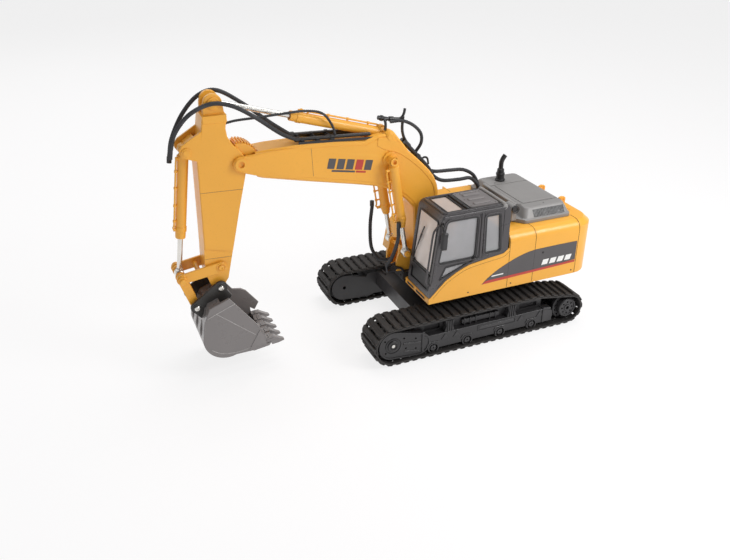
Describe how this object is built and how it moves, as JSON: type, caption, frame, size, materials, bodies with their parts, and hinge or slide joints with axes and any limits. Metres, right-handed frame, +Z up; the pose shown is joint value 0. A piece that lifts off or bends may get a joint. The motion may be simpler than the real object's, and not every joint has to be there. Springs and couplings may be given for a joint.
{
  "type": "toy excavator",
  "caption": "Radio-controlled toy excavator: rubber-tracked undercarriage, slewing house with cab, and a hinged boom, arm and bucket with sliding cylinder rods.",
  "frame": {"origin": "centre of the footprint, on the ground under the tracks", "axes": "+X towards the counterweight (the boom reaches towards -X), -Y on the cab side, +Z up"},
  "size_m": [0.4771, 0.184, 0.2999],
  "materials": {
    "yellow_plastic": "semi-gloss moulded plastic",
    "charcoal_plastic": "semi-gloss moulded plastic",
    "undercarriage_plastic": "satin black",
    "wheel_plastic": "satin black",
    "track_rubber": "matt moulded rubber",
    "hood_plastic": "satin grey",
    "bucket_plastic": "satin grey",
    "black_plastic": "satin black",
    "steel": "bright plated",
    "clear_liner": "thin clear plastic",
    "circuit_board": "satin green",
    "hose_rubber": "matt braided"
  },
  "bodies": {
    "undercarriage": {"chassis_frame": "undercarriage_plastic", "belly_cover": "undercarriage_plastic", "slew_ring": "steel", "track_frame_left": "undercarriage_plastic", "track_frame_right": "undercarriage_plastic", "track_belt_left": "track_rubber", "track_belt_right": "track_rubber"},
    "switch": {"power_switch": "wheel_plastic"},
    "sprocket_left": {"sprocket_left": "wheel_plastic"},
    "idler_left": {"idler_left": "wheel_plastic"},
    "roller_left_1": {"roller_left_1": "wheel_plastic"},
    "roller_left_2": {"roller_left_2": "wheel_plastic"},
    "roller_left_3": {"roller_left_3": "wheel_plastic"},
    "roller_left_4": {"roller_left_4": "wheel_plastic"},
    "sprocket_right": {"sprocket_right": "wheel_plastic"},
    "idler_right": {"idler_right": "wheel_plastic"},
    "roller_right_1": {"roller_right_1": "wheel_plastic"},
    "roller_right_2": {"roller_right_2": "wheel_plastic"},
    "roller_right_3": {"roller_right_3": "wheel_plastic"},
    "roller_right_4": {"roller_right_4": "wheel_plastic"},
    "house": {"house_deck": "undercarriage_plastic", "shell_left": "yellow_plastic", "shell_right": "yellow_plastic", "counterweight": "yellow_plastic", "engine_hood": "hood_plastic", "exhaust_stack": "black_plastic", "air_cleaner": "black_plastic", "cab_frame": "charcoal_plastic", "cab_glazing": "clear_liner", "cab_roof_plate": "charcoal_plastic", "cab_seat": "undercarriage_plastic", "cab_console": "undercarriage_plastic", "cab_mirror": "black_plastic", "boom_bracket": "yellow_plastic", "slew_motor": "steel", "circuit_board": "circuit_board", "hose_cyl_left": "hose_rubber", "hose_cyl_right": "hose_rubber"},
    "boom": {"boom": "yellow_plastic", "boom_pipes": "black_plastic", "hose_loop": "hose_rubber", "hose_boom_left": "hose_rubber", "hose_boom_right": "hose_rubber", "hose_arm_left": "hose_rubber", "hose_arm_right": "hose_rubber", "hose_arm_thin": "hose_rubber"},
    "lift_barrels": {"lift_barrel_left": "yellow_plastic", "lift_barrel_right": "yellow_plastic"},
    "lift_rods": {"lift_rod_left": "steel", "lift_rod_right": "steel"},
    "arm": {"arm": "yellow_plastic"},
    "arm_barrel": {"arm_barrel": "yellow_plastic"},
    "arm_rod": {"arm_rod": "steel"},
    "bucket": {"bucket": "bucket_plastic", "bucket_teeth": "bucket_plastic"},
    "rocker": {"rocker": "yellow_plastic"},
    "bucket_link": {"bucket_link": "yellow_plastic"},
    "curl_barrel": {"curl_barrel": "yellow_plastic"},
    "curl_rod": {"curl_rod": "steel"}
  },
  "joints": [
    {"name": "switch_slide", "type": "slide", "parent": "undercarriage", "child": "switch", "axis": [1, 0, 0], "range_m": [0, 0.004]},
    {"name": "track_drive_left", "type": "hinge", "parent": "undercarriage", "child": "sprocket_left", "pos_m": [0.2043, -0.0725, 0.0205], "axis": [0, 1, 0], "continuous": true},
    {"name": "idler_turn_left", "type": "hinge", "parent": "undercarriage", "child": "idler_left", "pos_m": [-0.0271, -0.0725, 0.0245], "axis": [0, 1, 0], "continuous": true},
    {"name": "roller_turn_left_1", "type": "hinge", "parent": "undercarriage", "child": "roller_left_1", "pos_m": [0.0229, -0.0725, 0.0099], "axis": [0, 1, 0], "continuous": true},
    {"name": "roller_turn_left_2", "type": "hinge", "parent": "undercarriage", "child": "roller_left_2", "pos_m": [0.0666, -0.0725, 0.0099], "axis": [0, 1, 0], "continuous": true},
    {"name": "roller_turn_left_3", "type": "hinge", "parent": "undercarriage", "child": "roller_left_3", "pos_m": [0.1103, -0.0725, 0.0099], "axis": [0, 1, 0], "continuous": true},
    {"name": "roller_turn_left_4", "type": "hinge", "parent": "undercarriage", "child": "roller_left_4", "pos_m": [0.1538, -0.0725, 0.0099], "axis": [0, 1, 0], "continuous": true},
    {"name": "track_drive_right", "type": "hinge", "parent": "undercarriage", "child": "sprocket_right", "pos_m": [0.2043, 0.0725, 0.0205], "axis": [0, 1, 0], "continuous": true},
    {"name": "idler_turn_right", "type": "hinge", "parent": "undercarriage", "child": "idler_right", "pos_m": [-0.0271, 0.0725, 0.0245], "axis": [0, 1, 0], "continuous": true},
    {"name": "roller_turn_right_1", "type": "hinge", "parent": "undercarriage", "child": "roller_right_1", "pos_m": [0.0229, 0.0725, 0.0099], "axis": [0, 1, 0], "continuous": true},
    {"name": "roller_turn_right_2", "type": "hinge", "parent": "undercarriage", "child": "roller_right_2", "pos_m": [0.0666, 0.0725, 0.0099], "axis": [0, 1, 0], "continuous": true},
    {"name": "roller_turn_right_3", "type": "hinge", "parent": "undercarriage", "child": "roller_right_3", "pos_m": [0.1103, 0.0725, 0.0099], "axis": [0, 1, 0], "continuous": true},
    {"name": "roller_turn_right_4", "type": "hinge", "parent": "undercarriage", "child": "roller_right_4", "pos_m": [0.1538, 0.0725, 0.0099], "axis": [0, 1, 0], "continuous": true},
    {"name": "slew", "type": "hinge", "parent": "undercarriage", "child": "house", "pos_m": [0.0886, 0, 0.058], "axis": [0, 0, 1], "continuous": true},
    {"name": "boom_lift", "type": "hinge", "parent": "house", "child": "boom", "pos_m": [0.0436, 0, 0.09], "axis": [0, 1, 0], "range_deg": [-4, 24], "deforming": ["hose_cyl_left", "hose_cyl_right", "hose_boom_left", "hose_boom_right"]},
    {"name": "lift_barrel_tilt", "type": "hinge", "parent": "boom", "child": "lift_barrels", "pos_m": [-0.0004, 0, 0.2125], "axis": [0, 1, 0], "range_deg": [-0.34, 1.96]},
    {"name": "lift_rod_tilt", "type": "hinge", "parent": "house", "child": "lift_rods", "pos_m": [0.0186, 0, 0.1], "axis": [0, 1, 0], "range_deg": [-4.46, 26.68]},
    {"name": "arm_swing", "type": "hinge", "parent": "boom", "child": "arm", "pos_m": [-0.1629, 0, 0.2295], "axis": [0, 1, 0], "range_deg": [-22, 16], "deforming": ["hose_arm_left", "hose_arm_right", "hose_arm_thin"]},
    {"name": "arm_barrel_tilt", "type": "hinge", "parent": "boom", "child": "arm_barrel", "pos_m": [-0.0004, 0, 0.237], "axis": [0, 1, 0], "range_deg": [-4.54, 3.31]},
    {"name": "arm_rod_tilt", "type": "hinge", "parent": "arm", "child": "arm_rod", "pos_m": [-0.1834, 0, 0.2905], "axis": [0, 1, 0], "range_deg": [-13.19, 18.14]},
    {"name": "bucket_curl", "type": "hinge", "parent": "arm", "child": "bucket", "pos_m": [-0.1954, 0, 0.0995], "axis": [0, 1, 0], "range_deg": [-30, 20]},
    {"name": "rocker_swing", "type": "hinge", "parent": "arm", "child": "rocker", "pos_m": [-0.1924, 0, 0.121], "axis": [0, 1, 0], "range_deg": [-23.21, 15.48]},
    {"name": "link_swing", "type": "hinge", "parent": "rocker", "child": "bucket_link", "pos_m": [-0.2334, 0, 0.1146], "axis": [0, 1, 0], "range_deg": [-6.77, 10.15]},
    {"name": "curl_barrel_tilt", "type": "hinge", "parent": "arm", "child": "curl_barrel", "pos_m": [-0.2146, 0, 0.247], "axis": [0, 1, 0], "range_deg": [-2.43, 1.62]},
    {"name": "curl_rod_tilt", "type": "hinge", "parent": "rocker", "child": "curl_rod", "pos_m": [-0.2334, 0, 0.1146], "axis": [0, 1, 0], "range_deg": [-13.86, 20.79]}
  ],
  "couplings": [
    {"joint": "idler_turn_left", "follows": "track_drive_left", "ratio": 0.797},
    {"joint": "roller_turn_left_1", "follows": "track_drive_left", "ratio": 3.0784},
    {"joint": "roller_turn_left_2", "follows": "track_drive_left", "ratio": 3.0784},
    {"joint": "roller_turn_left_3", "follows": "track_drive_left", "ratio": 3.0784},
    {"joint": "roller_turn_left_4", "follows": "track_drive_left", "ratio": 3.0784},
    {"joint": "idler_turn_right", "follows": "track_drive_right", "ratio": 0.797},
    {"joint": "roller_turn_right_1", "follows": "track_drive_right", "ratio": 3.0784},
    {"joint": "roller_turn_right_2", "follows": "track_drive_right", "ratio": 3.0784},
    {"joint": "roller_turn_right_3", "follows": "track_drive_right", "ratio": 3.0784},
    {"joint": "roller_turn_right_4", "follows": "track_drive_right", "ratio": 3.0784},
    {"joint": "lift_barrel_tilt", "follows": "boom_lift", "ratio": 0.079},
    {"joint": "lift_rod_tilt", "follows": "boom_lift", "ratio": 1.079},
    {"joint": "arm_barrel_tilt", "follows": "arm_swing", "ratio": 0.2},
    {"joint": "arm_rod_tilt", "follows": "arm_swing", "ratio": -0.8},
    {"joint": "rocker_swing", "follows": "bucket_curl", "ratio": 0.7508},
    {"joint": "link_swing", "follows": "bucket_curl", "ratio": -0.3282},
    {"joint": "curl_barrel_tilt", "follows": "bucket_curl", "ratio": 0.0784},
    {"joint": "curl_rod_tilt", "follows": "bucket_curl", "ratio": -0.6724}
  ]
}
